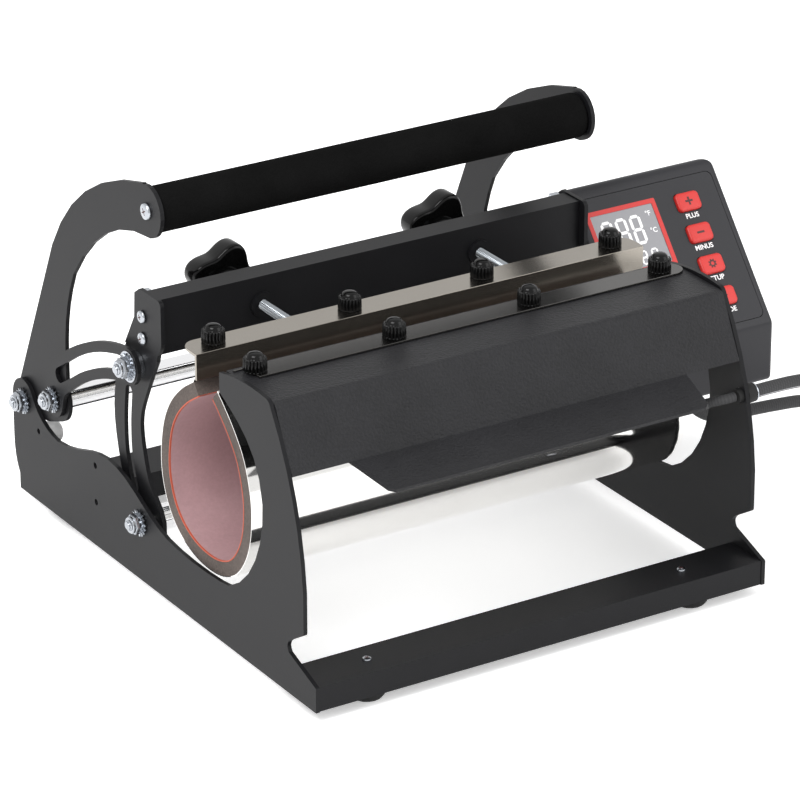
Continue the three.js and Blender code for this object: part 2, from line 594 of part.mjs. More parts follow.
function controlBox() {
  add('control_bracket', controlBracket(), 'powder')
  add('control_shell', controlShell(), 'plastic')
  add('control_panel', controlPanel(), 'plastic')
  const glass = roundedBlock(DISPLAY.w - 2 * GAP, DISPLAY.h - 2 * GAP, 2, 2)
  add('display', onPanel(glass, DISPLAY.x, DISPLAY.down, -2.2), 'glass')
  add('control_board', onPanel(box(-50, 50, -52, 52, -11, -9.4), PANEL.x, PANEL.down), 'board')
  const inlet = join(box(440.4, 469.6, 250, BOX.y1 + 1, 70.4, 91.6), box(436, 474, BOX.y1 + GAP, BOX.y1 + 3, 66, 96))
  add('power_inlet', cut(inlet, box(444, 466, BOX.y1 - 13, BOX.y1 + 5, 74, 88)), 'plastic')
  BUTTONS.forEach(([name, down]) => {
    const stem = onPanel(box(-3, 3, -3, 3, -6.5, -2), BUTTON.x, down)
    const face = onPanel(roundedBlock(BUTTON.w, BUTTON.h, 5.2, 3), BUTTON.x, down, -2.6)
    add(`${name}_button`, join(stem, face), 'red')
  })
}

// Glands, the heater's tail behind the cover, and the sleeved lead that loops from one gland to the other
const LEAD_END = { plate: 368, box: 50 }
const LEAD_ROUTE = [[368.3, 31, 131], [387, 31, 131], [405, 31, 130.3], [424, 31, 127.5], [445, 32, 120],
  [463, 34, 107], [477, 38, 89], [488, 43, 68], [499, 49, 46], [512, 57, 25], [529, 68, 8], [550, 82, -1],
  [572, 98, -3.2], [592, 117, -3.2], [607, 140, -3.2], [613, 163, -3], [606, 184, -2], [590, 198, 3],
  [567, 204, 11], [541, 203.7, 18], [518, 203.5, 20.5], [494, 203.6, 22], [472, 204, 23], [456, 204, 27],
  [445, 204, 35], [440.6, 204, 42], [440, 204, 49.2]]
const TAIL_ROUTE = [[352.2, 31, 131], [346, 31.4, 130.7], [338, 39, 127], [332, 54, 119], [330, 70, 112], [330, 84.5, 109]]

function tube(route, r, steps, sides) {
  const line = new THREE.CatmullRomCurve3(route.map((p) => new THREE.Vector3(...p)), false, 'centripetal')
  const section = Array.from({ length: sides }, (_, i) => {
    const a = 2 * Math.PI * i / sides
    return new THREE.Vector2(r * Math.cos(a), r * Math.sin(a))
  })
  return new THREE.ExtrudeGeometry(new THREE.Shape(section), { steps, extrudePath: line, bevelEnabled: false })
}

function heaterLead() {
  add('lead_gland', join(rodX(PLATE_GLAND, 5, WIDTH - SIDE - 4, WIDTH + 1), rodX(PLATE_GLAND, 6.8, WIDTH + GAP, LEAD_END.plate)),
    'rubber')
  add('box_gland', join(rodZ(BOX_GLAND, 5, BOX.z0 - 1, BOX.z0 + 6), rodZ(BOX_GLAND, 7, LEAD_END.box, BOX.z0 - GAP)),
    'rubber')
  add('heater_tail', tube(TAIL_ROUTE, 3.4, 12, 8), 'sleeve')
  add('mat_lead', tube(LEAD_ROUTE, LEAD_R, 46, 10), 'sleeve')
}

sidePlates()
crossbars()
feet()
frontCover()
pivots()
bumpers()
handle()
links()
swingFrame()
mat()
pressStrip()
caps()
add('pressure_screw_left', pressureScrew(SCREW_X[0]), 'zinc')
add('pressure_screw_right', pressureScrew(SCREW_X[1]), 'zinc')
controlBox()

// The origin is the middle of the footprint without the lead, on the surface that the feet stand on
const bounds = new THREE.Box3().setFromObject(machine)
const centre = bounds.getCenter(new THREE.Vector3())
heaterLead()
machine.position.set(-centre.x, -centre.y, -bounds.min.z)

export default machine
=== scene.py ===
# A mug heat press.
# Machine axes in millimetres: x from the left plate's outer face, y from the front lower corner of the
# plates to the back, z up from the plates' lower edge.
import json
import math

import bmesh
import bpy
from mathutils import Matrix, Vector


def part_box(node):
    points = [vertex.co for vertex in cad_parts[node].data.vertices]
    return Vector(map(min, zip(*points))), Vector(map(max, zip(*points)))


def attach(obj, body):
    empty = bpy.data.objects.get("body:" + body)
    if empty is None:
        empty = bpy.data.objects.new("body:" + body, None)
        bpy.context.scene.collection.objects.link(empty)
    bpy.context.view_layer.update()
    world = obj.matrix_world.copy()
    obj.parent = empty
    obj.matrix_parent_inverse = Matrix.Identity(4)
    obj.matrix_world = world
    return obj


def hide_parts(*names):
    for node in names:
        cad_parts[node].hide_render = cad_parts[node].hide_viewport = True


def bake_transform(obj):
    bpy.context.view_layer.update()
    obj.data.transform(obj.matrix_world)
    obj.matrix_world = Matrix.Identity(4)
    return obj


MM = 0.001
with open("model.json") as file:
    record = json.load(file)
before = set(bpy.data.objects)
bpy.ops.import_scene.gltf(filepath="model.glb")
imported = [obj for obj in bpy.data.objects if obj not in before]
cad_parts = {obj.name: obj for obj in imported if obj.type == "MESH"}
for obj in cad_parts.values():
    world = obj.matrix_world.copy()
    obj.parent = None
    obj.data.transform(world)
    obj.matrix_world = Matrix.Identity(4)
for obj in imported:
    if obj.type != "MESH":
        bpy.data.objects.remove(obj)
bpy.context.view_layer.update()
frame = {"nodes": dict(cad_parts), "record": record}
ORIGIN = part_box("side_plate_left")[0]
SLOT_OF = {s["node"]: s["material_slot"] for s in frame["record"]["subparts"]}

GAP = 0.3
WIDTH = 360.0
HANDLE_PIVOT = (400, 72)
CRANK_PIVOT = (355, 90)
LINK_PIVOT = (244, 156)
SWING_PIVOT = (232, 44)
GRIP_AXIS = (219, 277)
SCREW_X = (90, 265)
SCREW_Z = 191.5
# Inner radius of a turned profile that closes on its axis
AXIS = 0.01


def at(x, y, z):
    """A point of the machine in the row frame, in metres."""
    return ORIGIN + Vector((x, y, z)) * MM


# ---------------------------------------------------------------- camera
def make_camera():
    data = bpy.data.cameras.new("camera")
    data.lens = 216.1
    data.sensor_width = 36
    data.clip_end = 20
    camera = bpy.data.objects.new("camera", data)
    camera.location = at(-1423.2, -2379.1, 1460.3)
    camera.rotation_euler = (math.radians(90 - 24.045), 0, math.radians(-32.018))
    bpy.context.scene.collection.objects.link(camera)
    bpy.context.scene.camera = camera


make_camera()


# ---------------------------------------------------------------- curves
def mix(a, b, ta, tb, s):
    return a * ((tb - s) / (tb - ta)) + b * ((s - ta) / (tb - ta))


def catmull(points, per, power=0.5):
    """Points of the Catmull-Rom curve through the given ones; power 0.5 is centripetal and 0 uniform."""
    pts = [Vector(p) for p in points]
    pts = [2 * pts[0] - pts[1]] + pts + [2 * pts[-1] - pts[-2]]
    out = []
    for i in range(1, len(pts) - 2):
        p = pts[i - 1 : i + 3]
        t = [0.0]
        for a, b in zip(p, p[1:]):
            t.append(t[-1] + (b - a).length ** (2 * power))
        for k in range(per):
            s = t[1] + (t[2] - t[1]) * k / per
            low, mid, high = (mix(p[j], p[j + 1], t[j], t[j + 1], s) for j in range(3))
            front = mix(low, mid, t[0], t[2], s)
            back = mix(mid, high, t[1], t[3], s)
            out.append(mix(front, back, t[1], t[2], s))
    out.append(pts[-2])
    return out


def arc(centre, radius, start, end, count):
    """Points of an arc in a plane; angles in degrees."""
    angles = [math.radians(start + (end - start) * k / count) for k in range(count + 1)]
    return [(centre[0] + radius * math.cos(a), centre[1] + radius * math.sin(a)) for a in angles]


def circle(radius, count):
    angles = [2 * math.pi * i / count for i in range(count)]
    return [(radius * math.cos(a), radius * math.sin(a)) for a in angles]


def toothed(teeth, tip, root):
    """A toothed outline, four points to a tooth."""
    radii = (root, tip, tip, root)
    count = 4 * teeth
    angles = [2 * math.pi * i / count for i in range(count)]
    return [(radii[i % 4] * math.cos(a), radii[i % 4] * math.sin(a)) for i, a in enumerate(angles)]


def lifted(ring, height):
    return [(x, y, z + height) for x, y, z in ring]


def raised(outline, *heights):
    return [[(x, y, z) for x, y in outline] for z in heights]


def pointing(point, direction):
    """The matrix that puts local +Z along a direction, from a point of the row frame."""
    turn = Vector(direction).to_track_quat("Z", "Y").to_matrix().to_4x4()
    return Matrix.Translation(point) @ turn @ Matrix.Scale(MM, 4)


# ---------------------------------------------------------------- mesh parts, in millimetres under a matrix
def add_rings(bm, rings, matrix, closed_u=False):
    rows = [[bm.verts.new(matrix @ Vector(p)) for p in ring] for ring in rings]
    n = len(rows[0])
    pairs = list(zip(rows, rows[1:])) + ([(rows[-1], rows[0])] if closed_u else [])
    for a, b in pairs:
        for i in range(n):
            j = (i + 1) % n
            bm.faces.new((a[i], a[j], b[j], b[i]))
    if not closed_u:
        bm.faces.new(rows[0][::-1])
        bm.faces.new(rows[-1])
    return rows


def add_lathe(bm, profile, matrix, segments=48, wave=None, hollow=False):
    """Turns (radius, height) round local Z; wave(angle, k) scales the radius of profile point k."""
    rings = []
    for k, (r, h) in enumerate(profile):
        ring = []
        for i in range(segments):
            a = 2 * math.pi * i / segments
            s = wave(a, k) if wave else 1
            ring.append((r * s * math.cos(a), r * s * math.sin(a), h))
        rings.append(ring)
    add_rings(bm, rings, matrix, closed_u=hollow)


def add_pin(bm, radius, start, end, matrix, segments=24):
    """A plain round length on local Z."""
    add_lathe(bm, [(AXIS, start), (radius, start), (radius, end), (AXIS, end)], matrix, segments)


def add_prism(bm, outline, z0, z1, matrix):
    add_rings(bm, raised(outline, z0, z1), matrix)


def add_box(bm, x0, x1, y0, y1, z0, z1, matrix):
    add_prism(bm, [(x0, y0), (x1, y0), (x1, y1), (x0, y1)], z0, z1, matrix)


def add_thread(bm, radius, length, matrix, segments=20):
    """A threaded stud: rings whose radius follows the helix, with chamfered ends."""
    pitch, depth, rings_per_turn, chamfer = 1.6, 0.8, 4, 1.5
    rings = []
    count = int(length / pitch * rings_per_turn)
    for k in range(count + 1):
        h = length * k / count
        taper = min(1, h / chamfer, (length - h) / chamfer)
        ring = []
        for i in range(segments):
            a = 2 * math.pi * i / segments
            phase = (h / pitch - i / segments) % 1
            r = radius - depth * abs(2 * phase - 1) - (1 - taper) * 0.7
            ring.append((r * math.cos(a), r * math.sin(a), h))
        rings.append(ring)
    add_rings(bm, rings, matrix)


def add_tube(bm, path, radius, sides, matrix):
    """A round tube along a path, with UVs: u along its length in millimetres, v round it from 0 to 1."""
    uv = bm.loops.layers.uv.verify()
    normal = Vector((0, 0, 1))
    rings, lengths, done = [], [], 0.0
    for k, p in enumerate(path):
        ahead, behind = path[min(k + 1, len(path) - 1)], path[max(k - 1, 0)]
        tangent = (ahead - behind).normalized()
        if abs(tangent.dot(normal)) > 0.95 and k == 0:
            normal = Vector((0, 1, 0))
        normal = (normal - tangent * normal.dot(tangent)).normalized()
        side = tangent.cross(normal)
        turn = [2 * math.pi * i / sides for i in range(sides)]
        rings.append([p + (normal * math.cos(a) + side * math.sin(a)) * radius for a in turn])
        done += (p - path[k - 1]).length if k else 0
        lengths.append(done)
    rows = add_rings(bm, rings, matrix)
    place = {v: (lengths[k], i / sides) for k, row in enumerate(rows) for i, v in enumerate(row)}
    for face in {f for row in rows for v in row for f in v.link_faces}:
        around = [place[loop.vert][1] for loop in face.loops]
        wraps = max(around) - min(around) > 0.5
        for loop in face.loops:
            u, v = place[loop.vert]
            loop[uv].uv = (u, v + 1 if wraps and v < 0.5 else v)


# ---------------------------------------------------------------- materials
def shader(name):
    material = bpy.data.materials.new(name)
    material.use_nodes = True
    tree = material.node_tree
    return material, tree.nodes, tree.links, tree.nodes["Principled BSDF"]


def node(nodes, kind, **values):
    made = nodes.new(kind)
    for key, value in values.items():
        if key in made.inputs.keys():
            made.inputs[key].default_value = value
        else:
            setattr(made, key, value)
    return made


def shade(colour, factor):
    return tuple(min(1, c * factor) for c in colour) + (1,)


def painted_reflection(nodes, links, place, tone, start, end, low, high):
    """Painted reflection: the tone scaled from low to high along the machine's x, in place of the
    surroundings that a long sheet mirrors.
    """
    split = node(nodes, "ShaderNodeSeparateXYZ")
    links.new(place.outputs["Object"], split.inputs["Vector"])
    level = node(nodes, "ShaderNodeMapRange", interpolation_type="SMOOTHSTEP")
    for key, value in (("From Min", start), ("From Max", end), ("To Min", low), ("To Max", high)):
        level.inputs[key].default_value = value
    links.new(split.outputs["X"], level.inputs["Value"])
    scaled = node(nodes, "ShaderNodeVectorMath", operation="SCALE")
    links.new(tone, scaled.inputs[0])
    links.new(level.outputs["Result"], scaled.inputs["Scale"])
    return scaled.outputs["Vector"]


def surface(name, colour, rough, metal=0.0, grain=1.5, bump=0.2, depth=0.1, mottle=0.15, spread=0.06,
            coat=0.0, stretch=(1, 1, 1), shine=0.5, taper=None):
    """A procedural surface: grain is the size of its texture in millimetres and depth the bump's height."""
    material, nodes, links, principled = shader(name)
    principled.inputs["Metallic"].default_value = metal
    principled.inputs["Coat Weight"].default_value = coat
    principled.inputs["Specular IOR Level"].default_value = shine
    principled.inputs["Coat Roughness"].default_value = 0.15
    place = node(nodes, "ShaderNodeTexCoord")
    mapping = node(nodes, "ShaderNodeMapping", Scale=stretch)
    links.new(place.outputs["Object"], mapping.inputs["Vector"])
    fine = node(nodes, "ShaderNodeTexNoise", Scale=1000 / grain, Detail=3.0, Roughness=0.6)
    broad = node(nodes, "ShaderNodeTexNoise", Scale=25.0, Detail=4.0, Roughness=0.55)
    links.new(mapping.outputs["Vector"], fine.inputs["Vector"])
    links.new(place.outputs["Object"], broad.inputs["Vector"])
    blend = node(nodes, "ShaderNodeMath", operation="ADD")
    links.new(fine.outputs["Fac"], blend.inputs[0])
    links.new(broad.outputs["Fac"], blend.inputs[1])
    ramp = node(nodes, "ShaderNodeValToRGB")
    ramp.color_ramp.elements[0].position = 0.3
    ramp.color_ramp.elements[1].position = 0.7
    ramp.color_ramp.elements[0].color = shade(colour, 1 - mottle)
    ramp.color_ramp.elements[1].color = shade(colour, 1 + mottle)
    half = node(nodes, "ShaderNodeMath", operation="MULTIPLY")
    half.inputs[1].default_value = 0.5
    links.new(blend.outputs[0], half.inputs[0])
    links.new(half.outputs[0], ramp.inputs["Fac"])
    tone = ramp.outputs["Color"]
    # A taper paints reflection into the colour: the tone is scaled along the machine's x.
    if taper:
        tone = painted_reflection(nodes, links, place, tone, *taper)
    links.new(tone, principled.inputs["Base Color"])
    polish = node(nodes, "ShaderNodeMapRange")
    polish.inputs["To Min"].default_value = max(0.02, rough - spread)
    polish.inputs["To Max"].default_value = rough + spread
    links.new(half.outputs[0], polish.inputs["Value"])
    links.new(polish.outputs["Result"], principled.inputs["Roughness"])
    relief = node(nodes, "ShaderNodeBump", Strength=bump, Distance=depth * MM)
    links.new(fine.outputs["Fac"], relief.inputs["Height"])
    links.new(relief.outputs["Normal"], principled.inputs["Normal"])
    return material


def braided(name, colour, light):
    """A woven sleeve: two sets of crossing strands, with a pale tracer thread."""
    material, nodes, links, principled = shader(name)
    strands_round, turn_per_mm = 14, 1.6
    tracer_at, tracer_width = 0.34, 0.018
    principled.inputs["Roughness"].default_value = 0.7
    place = node(nodes, "ShaderNodeTexCoord")
    split = node(nodes, "ShaderNodeSeparateXYZ")
    links.new(place.outputs["UV"], split.inputs["Vector"])
    strands = []
    for turn in (1, -1):
        along = node(nodes, "ShaderNodeMath", operation="MULTIPLY")
        along.inputs[1].default_value = turn_per_mm
        around = node(nodes, "ShaderNodeMath", operation="MULTIPLY")
        around.inputs[1].default_value = 2 * math.pi * strands_round * turn
        total = node(nodes, "ShaderNodeMath", operation="ADD")
        wave = node(nodes, "ShaderNodeMath", operation="SINE")
        links.new(split.outputs["X"], along.inputs[0])
        links.new(split.outputs["Y"], around.inputs[0])
        links.new(along.outputs[0], total.inputs[0])
        links.new(around.outputs[0], total.inputs[1])
        links.new(total.outputs[0], wave.inputs[0])
        strands.append(wave)
    weave = node(nodes, "ShaderNodeMath", operation="MULTIPLY")
    links.new(strands[0].outputs[0], weave.inputs[0])
    links.new(strands[1].outputs[0], weave.inputs[1])
    ramp = node(nodes, "ShaderNodeValToRGB")
    ramp.color_ramp.elements[0].color = shade(colour, 0.6)
    ramp.color_ramp.elements[1].color = shade(colour, 1.5)
    links.new(weave.outputs[0], ramp.inputs["Fac"])
    tracer = node(nodes, "ShaderNodeMath", operation="COMPARE")
    tracer.inputs[1].default_value = tracer_at
    tracer.inputs[2].default_value = tracer_width
    links.new(split.outputs["Y"], tracer.inputs[0])
    mixed = node(nodes, "ShaderNodeMix", data_type="RGBA")
    mixed.inputs["B"].default_value = (*light, 1)
    links.new(tracer.outputs[0], mixed.inputs["Factor"])
    links.new(ramp.outputs["Color"], mixed.inputs["A"])
    links.new(mixed.outputs["Result"], principled.inputs["Base Color"])
    relief = node(nodes, "ShaderNodeBump", Strength=0.5, Distance=0.3 * MM)
    links.new(weave.outputs[0], relief.inputs["Height"])
    links.new(relief.outputs["Normal"], principled.inputs["Normal"])
    return material


BLACK = (0.0075, 0.0075, 0.0085)
HIDE = (0.013, 0.013, 0.0145)
looks = {
    "powder": surface("powder", BLACK, 0.42, grain=1.1, bump=0.35, depth=0.12, mottle=0.2, shine=0.14),
    "hide": surface("hide", HIDE, 0.42, grain=1.9, bump=1.0, depth=0.8, mottle=0.35, shine=0.22),
    "chrome": surface("chrome", (0.86, 0.86, 0.87), 0.1, 1, grain=0.8, bump=0.02, mottle=0.02, spread=0.03),
    "zinc": surface("zinc", (0.4, 0.42, 0.45), 0.22, 1, grain=1.2, bump=0.12, mottle=0.1),
    "stainless": surface("stainless", (0.62, 0.58, 0.53), 0.2, 1, grain=0.35, bump=0.1, depth=0.03,
                         mottle=0.06, spread=0.05, stretch=(0.04, 1, 1)),
    # The flange and the strip carry painted reflection: their tone rises along x, dark on the left and
    # bright on the right.
    "flange": surface("flange", (0.6, 0.58, 0.56), 0.24, 1, grain=0.35, bump=0.1, depth=0.03, mottle=0.06,
                      spread=0.05, stretch=(1, 0.04, 1), taper=(0.15, 0.38, 0.17, 1.0)),
    "strip": surface("strip", (0.62, 0.57, 0.5), 0.2, 1, grain=0.35, bump=0.1, depth=0.03, mottle=0.06,
                     spread=0.05, stretch=(1, 1, 0.04), taper=(0.1, 0.38, 0.5, 1.1)),
    "thread": surface("thread", (0.3, 0.32, 0.34), 0.2, 1, grain=1.2, bump=0.1, mottle=0.1),
    "mirror": surface("mirror", (0.82, 0.81, 0.79), 0.07, 1, grain=3, bump=0.03, depth=0.05, mottle=0.03,
                      spread=0.02),
    "plastic": surface("plastic", (0.02, 0.02, 0.023), 0.36, grain=0.7, bump=0.25, depth=0.05, mottle=0.1,
                       shine=0.25),
    "gloss": surface("gloss", (0.003, 0.003, 0.003), 0.12, grain=1.5, bump=0.05, mottle=0.1, shine=0.2),
    "foam": surface("foam", (0.005, 0.005, 0.005), 0.97, grain=0.9, bump=0.8, depth=0.3, mottle=0.4,
                    shine=0.02),
    "rubber": surface("rubber", (0.012, 0.012, 0.012), 0.7, grain=1.2, bump=0.2, mottle=0.15, shine=0.25),
    "sponge": surface("sponge", (0.085, 0.068, 0.06), 0.95, grain=1.3, bump=0.9, depth=0.5, mottle=0.5),
    "silicone": surface("silicone", (0.37, 0.23, 0.24), 0.5, grain=2.2, bump=0.2, mottle=0.12),
    "orange": surface("orange", (0.42, 0.075, 0.035), 0.6, grain=0.8, bump=0.3, mottle=0.2),
    "red": surface("red", (0.52, 0.02, 0.016), 0.4, grain=0.6, bump=0.12, mottle=0.06),
    # Dark ink for the keys' icons, also painted shade for the screw heads' cross recesses.
    "ink_and_recess_shade": surface("ink_and_recess_shade", (0.05, 0.012, 0.012), 0.5, grain=1, bump=0.05, mottle=0.05),
    "white": surface("white", (0.86, 0.86, 0.86), 0.5, grain=1, bump=0.02, mottle=0.02),
    "glass": surface("glass", (0.19, 0.19, 0.205), 0.14, grain=4, bump=0.02, mottle=0.03, coat=0.5),
    "board": surface("board", (0.02, 0.12, 0.04), 0.4, grain=1, bump=0.1),
    "nylon": surface("nylon", (0.6, 0.6, 0.6), 0.4, grain=1.5, bump=0.08, mottle=0.05),
    "sleeve": braided("sleeve", (0.03, 0.03, 0.032), (0.35, 0.35, 0.36)),
}


# ---------------------------------------------------------------- pieces
def crease(mesh, angle):
    for face in mesh.polygons:
        face.use_smooth = True
    mesh.set_sharp_from_angle(angle=math.radians(angle))


def bevel(obj, width, angle=40):
    made = obj.modifiers.new("edges", "BEVEL")
    made.width = width * MM
    made.segments = 2
    made.limit_method = "ANGLE"
    made.angle_limit = math.radians(angle)


def solid(name, bm):
    """An object made of the parts in bm."""
    bmesh.ops.recalc_face_normals(bm, faces=bm.faces)
    mesh = bpy.data.meshes.new(name)
    bm.to_mesh(mesh)
    bm.free()
    obj = bpy.data.objects.new(name, mesh)
    bpy.context.scene.collection.objects.link(obj)
    return obj


def piece(name, bm, look, body, stands_for=(), edge=0.0, angle=38):
    """A finished object from the parts in bm, riding on a body."""
    obj = solid(name, bm)
    obj.data.materials.append(looks[look])
    crease(obj.data, angle)
    if edge:
        bevel(obj, edge)
    if body:
        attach(obj, body)
    if stands_for:
        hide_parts(*stands_for)
    return obj


ROW = Matrix.Translation(ORIGIN) @ Matrix.Scale(MM, 4)
# Local x, y, z run along the machine's y, z and x: outlines in (y, z) are drawn out along x
SIDEWAYS = ROW @ Matrix(((0, 0, 1, 0), (1, 0, 0, 0), (0, 1, 0, 0), (0, 0, 0, 1)))


# ---------------------------------------------------------------- the heater's lead
LEAD_R = 4.6
LEAD_ROUTE = (
    (368.3, 31, 131), (387, 31, 131), (405, 31, 130.3), (424, 31, 127.5), (445, 32, 120),
    (463, 34, 107), (477, 38, 89), (488, 43, 68), (499, 49, 46), (512, 57, 25), (529, 68, 8), (550, 82, -1),
    (572, 98, -3.2), (592, 117, -3.2), (607, 140, -3.2), (613, 163, -3), (606, 184, -2), (590, 198, 3),
    (567, 204, 11), (541, 203.7, 18), (518, 203.5, 20.5), (494, 203.6, 22), (472, 204, 23), (456, 204, 27),
    (445, 204, 35), (440.6, 204, 42), (440, 204, 49.2),
)
TAIL_R = 3.4
TAIL_ROUTE = (
    (352.2, 31, 131), (346, 31.4, 130.7), (338, 39, 127), (332, 54, 119), (330, 70, 112), (330, 84.5, 109),
)


def heater_lead():
    path = catmull(LEAD_ROUTE, 6)
    bm = bmesh.new()
    add_tube(bm, path, LEAD_R, 24, ROW)
    lead = piece("heater_lead", bm, "sleeve", "base", ["mat_lead"])
    bm = bmesh.new()
    add_tube(bm, catmull(TAIL_ROUTE, 6), TAIL_R, 16, ROW)
    piece("heater_tail_sleeve", bm, "sleeve", "base", ["heater_tail"])


heater_lead()


def glands():
    bm = bmesh.new()
    base = pointing(at(WIDTH + GAP, 31, 131), (1, 0, 0))
    add_lathe(bm, [(AXIS, 0), (6.8, 0), (7.0, 0.8), (6.8, 5.4), (6.2, 7.3), (4.9, 7.7), (AXIS, 7.7)], base)
    add_pin(bm, 5, -7, 0.5, base)
    piece("plate_gland", bm, "rubber", "base", ["lead_gland"])
    bm = bmesh.new()
    add_lathe(bm, [(5.05, 0), (6.6, 0), (6.6, 0.7), (5.05, 0.7)],
              pointing(at(WIDTH + GAP + 7.2, 31, 131), (1, 0, 0)), hollow=True)
    piece("plate_gland_rim", bm, "zinc", "base")
    bm = bmesh.new()
    base = pointing(at(440, 204, 58 - GAP), (0, 0, -1))
    add_lathe(bm, [(AXIS, 0), (7, 0), (7, 3), (5.6, 7.6), (AXIS, 7.6)], base, 32)
    add_pin(bm, 5, -6, 1, base)
    piece("box_gland_boot", bm, "rubber", "base", ["box_gland"])


glands()


# ---------------------------------------------------------------- solids that keep their shape
def dress_frame():
    rounded = {"powder": 0.5, "rubber": 0.8, "stainless": 0.25, "plastic": 0.4}
    for name, obj in frame["nodes"].items():
        slot = SLOT_OF[name]
        look = "hide" if name == "front_cover" else slot
        obj.data.materials.clear()
        obj.data.materials.append(looks[look])
        crease(obj.data, 32)
        if rounded.get(slot):
            bevel(obj, rounded[slot], 45)


dress_frame()


# ---------------------------------------------------------------- fasteners
def add_nut(bm, face):
    """Toothed washer, hexagon nut with a nylon collar, and the end of the stud, outward along local Z."""
    teeth, seat, thickness = 16, GAP + 0.35, 0.9
    twists = (0, 0.55, -0.25, 0)
    bore = [(x, y, seat) for x, y in circle(4.4, 4 * teeth)]
    rim = [(x, y, seat + twists[i % 4]) for i, (x, y) in enumerate(toothed(teeth, 9.6, 7.6))]
    washer = (bore, rim, lifted(rim, thickness), lifted(bore, thickness))
    add_rings(bm, washer, face, closed_u=True)
    corner, chamfered = circle(7.4, 6), circle(6.9, 6)
    hexagon = raised(chamfered, 1.5) + raised(corner, 2.1, 6.2) + raised(chamfered, 6.9)
    add_rings(bm, hexagon, face)
    collar = [(3.6, 6.8), (6.1, 6.8), (6.1, 8.2), (5.5, 8.9), (4.6, 9.0), (3.6, 8.4)]
    add_lathe(bm, collar, face, 32, hollow=True)
    add_thread(bm, 3.95, 10.8, face)


def left_face(pivot):
    return pointing(at(0, *pivot), (-1, 0, 0))


def right_face(pivot):
    return pointing(at(WIDTH, *pivot), (1, 0, 0))


def along(pivot):
    return pointing(at(0, *pivot), (1, 0, 0))


def flipped(face):
    return face @ Matrix.Rotation(math.pi, 4, "X")


def both_faces(pivot):
    return (("left", left_face(pivot)), ("right", right_face(pivot)))


def shaft_nuts():
    nuts = (("lower_shaft_nut", SWING_PIVOT, "base"), ("crank_nut", CRANK_PIVOT, "handle"))
    for name, pivot, body in nuts:
        for side, face in both_faces(pivot):
            bm = bmesh.new()
            add_nut(bm, face)
            piece(f"{name}_{side}_set", bm, "zinc", body, [f"{name}_{side}"])


def handle_pivots():
    """Bolts with a nut outside the plate and a head past the handle's arm; a spacer on the right."""
    arm_from_face = {"left": 3.4, "right": 10}
    for side, face in both_faces(HANDLE_PIVOT):
        bm = bmesh.new()
        add_nut(bm, face)
        inward = flipped(face)
        arm = arm_from_face[side]
        reach = arm + 3
        add_pin(bm, 3.95, 0, reach + 2, inward)
        head = [(AXIS, GAP), (6.5, GAP), (6.5, 2.6), (5, 4), (AXIS, 4)]
        add_lathe(bm, [(radius, reach + height) for radius, height in head], inward, 32)
        if side == "right":
            add_pin(bm, 7, 3 + GAP, arm - GAP, inward, 32)
        piece(f"handle_pivot_{side}_set", bm, "zinc", "base", [f"handle_pivot_bolt_{side}"])


def link_bolts():
    """Bolts with a nut and washer on the left, and a low head on the right."""
    for side, face in both_faces(LINK_PIVOT):
        bm = bmesh.new()
        inward = flipped(face)
        if side == "left":
            add_nut(bm, face)
            add_lathe(bm, [(3.2, GAP), (11, GAP), (11, 0.62), (3.2, 0.62)], face, 48, hollow=True)
        else:
            add_lathe(bm, [(AXIS, GAP), (10, GAP), (10, 1.8), (8.6, 3.6), (AXIS, 4)], face, 32)
        add_pin(bm, 3, -0.5, 12.6, inward)
        add_pin(bm, 10, 3.3, 7.3, inward, 40)
        add_lathe(bm, [(AXIS, 10.9), (6, 10.9), (6, 13.4), (4.6, 14.6), (AXIS, 14.6)], inward, 32)
        piece(f"link_bolt_{side}_set", bm, "zinc", "swing_frame", [f"link_bolt_{side}"])


shaft_nuts()
handle_pivots()
link_bolts()


def shafts():
    for name, pivot, body, x0, x1 in (("lower_shaft", SWING_PIVOT, "base", 10.9, 349.1),
                                      ("crank_shaft", CRANK_PIVOT, "handle", 6.7, 346.7)):
        bm = bmesh.new()
        rod = along(pivot)
        radius, edge = 9.2, 0.8
        bar = [(AXIS, x0), (radius - edge, x0), (radius, x0 + edge)]
        bar += [(radius, x1 - edge), (radius - edge, x1), (AXIS, x1)]
        add_lathe(bm, bar, rod, 64)
        add_pin(bm, 3.7, GAP, WIDTH - GAP, rod, 20)
        if name == "crank_shaft":
            add_pin(bm, 7, 350.3, 356.7, rod, 32)
        piece(f"{name}_bar", bm, "chrome", body, [name])


shafts()


def add_pan_head(bm, matrix, radius=4.6, height=2.3):
    """A low screw head with a round edge."""
    shape = ((1, 0), (1, 0.35), (0.9, 0.75), (0.6, 1))
    profile = [(radius * r, height * h) for r, h in shape]
    add_lathe(bm, [(AXIS, 0)] + profile + [(AXIS, height)], matrix, 32)


def cross_recess(name, matrix, height, reach, body):
    """The dark cross in a screw head: painted shade in place of the hollow of its recess."""
    first_turn = 0.5
    bm = bmesh.new()
    for turn in (0, math.pi / 2):
        local = matrix @ Matrix.Rotation(turn + first_turn, 4, "Z")
        add_box(bm, -reach, reach, -0.45, 0.45, height - 0.2, height + 0.04, local)
    piece(name, bm, "ink_and_recess_shade", body)


